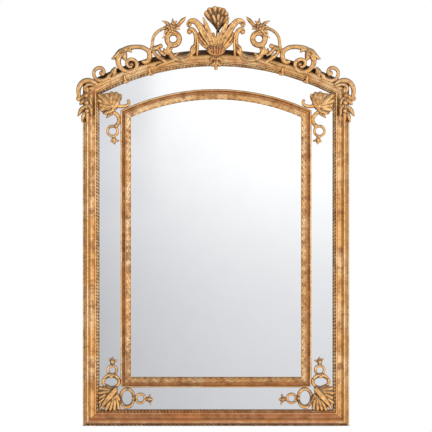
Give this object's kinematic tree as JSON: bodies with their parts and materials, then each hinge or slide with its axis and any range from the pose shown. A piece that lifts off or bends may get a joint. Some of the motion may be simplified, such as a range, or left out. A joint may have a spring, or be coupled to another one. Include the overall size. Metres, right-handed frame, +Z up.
{
  "type": "border-glass wall mirror",
  "caption": "Arched giltwood wall mirror: strips of border glass between two gilded frames, a pierced carved crest, corner cartouches, and hanging rings on the back.",
  "frame": {"origin": "on the wall plane, which is the back face of the bottom back rail, on the centre line and at the height of the underside", "axes": "+Z up, +X to the viewer's right, the mirror faces -Y and the wall is on the +Y side"},
  "size_m": [1.0842, 0.078, 1.6396],
  "materials": {
    "gilt_moulding": "water-gilded gesso on wood, rubbed through to red bole in the hollows and on the edges",
    "gilt_carving": "carved and gilded wood, dark in the hollows and bright on the high places",
    "pine": "aged softwood, stained dark",
    "board": "rough sawn, oxidised softwood boards",
    "mirror_glass": "silvered plate glass",
    "brass": "dull aged brass",
    "steel": "dull steel"
  },
  "bodies": {
    "frame": {"back_stile_left": "pine", "back_stile_right": "pine", "back_rail_bottom": "pine", "back_rail_top": "pine", "backboard_1": "board", "backboard_2": "board", "backboard_3": "board", "border_glass_left": "mirror_glass", "border_glass_right": "mirror_glass", "border_glass_bottom": "mirror_glass", "border_glass_top": "mirror_glass", "centre_glass": "mirror_glass", "outer_moulding_left": "gilt_moulding", "outer_moulding_right": "gilt_moulding", "outer_moulding_bottom": "gilt_moulding", "outer_moulding_top": "gilt_moulding", "inner_moulding_left": "gilt_moulding", "inner_moulding_right": "gilt_moulding", "inner_moulding_bottom": "gilt_moulding", "inner_moulding_top": "gilt_moulding", "hanger_strap_left": "brass", "hanger_screw_left_1": "steel", "hanger_screw_left_2": "steel", "hanger_strap_right": "brass", "hanger_screw_right_1": "steel", "hanger_screw_right_2": "steel", "palmette": "gilt_carving", "crown_leaf": "gilt_carving", "base_shell": "gilt_carving", "scroll_bracket_right": "gilt_carving", "scroll_bracket_left": "gilt_carving", "arch_leaf_right": "gilt_carving", "arch_leaf_left": "gilt_carving", "flower_scroll_right": "gilt_carving", "flower_scroll_left": "gilt_carving", "flower_right": "gilt_carving", "flower_left": "gilt_carving", "arch_scroll_right": "gilt_carving", "arch_scroll_left": "gilt_carving", "small_volute_right": "gilt_carving", "small_volute_left": "gilt_carving", "ear_scroll_right": "gilt_carving", "ear_scroll_left": "gilt_carving", "side_drop_right": "gilt_carving", "side_drop_left": "gilt_carving", "clasp_1_right": "gilt_carving", "clasp_1_left": "gilt_carving", "clasp_2_right": "gilt_carving", "clasp_2_left": "gilt_carving", "pendant": "gilt_carving", "cartouche_bottom_right": "gilt_carving", "cartouche_bottom_left": "gilt_carving", "cartouche_top_right": "gilt_carving", "cartouche_top_left": "gilt_carving"},
    "ring_left": {"hanger_ring_left": "brass"},
    "ring_right": {"hanger_ring_right": "brass"}
  },
  "joints": [
    {"name": "ring_left_swing", "type": "hinge", "parent": "frame", "child": "ring_left", "pos_m": [-0.48925, -0.0049, 1.08], "axis": [1, 0, 0], "range_deg": [0, 170]},
    {"name": "ring_right_swing", "type": "hinge", "parent": "frame", "child": "ring_right", "pos_m": [0.48925, -0.0049, 1.08], "axis": [1, 0, 0], "range_deg": [0, 170]}
  ]
}
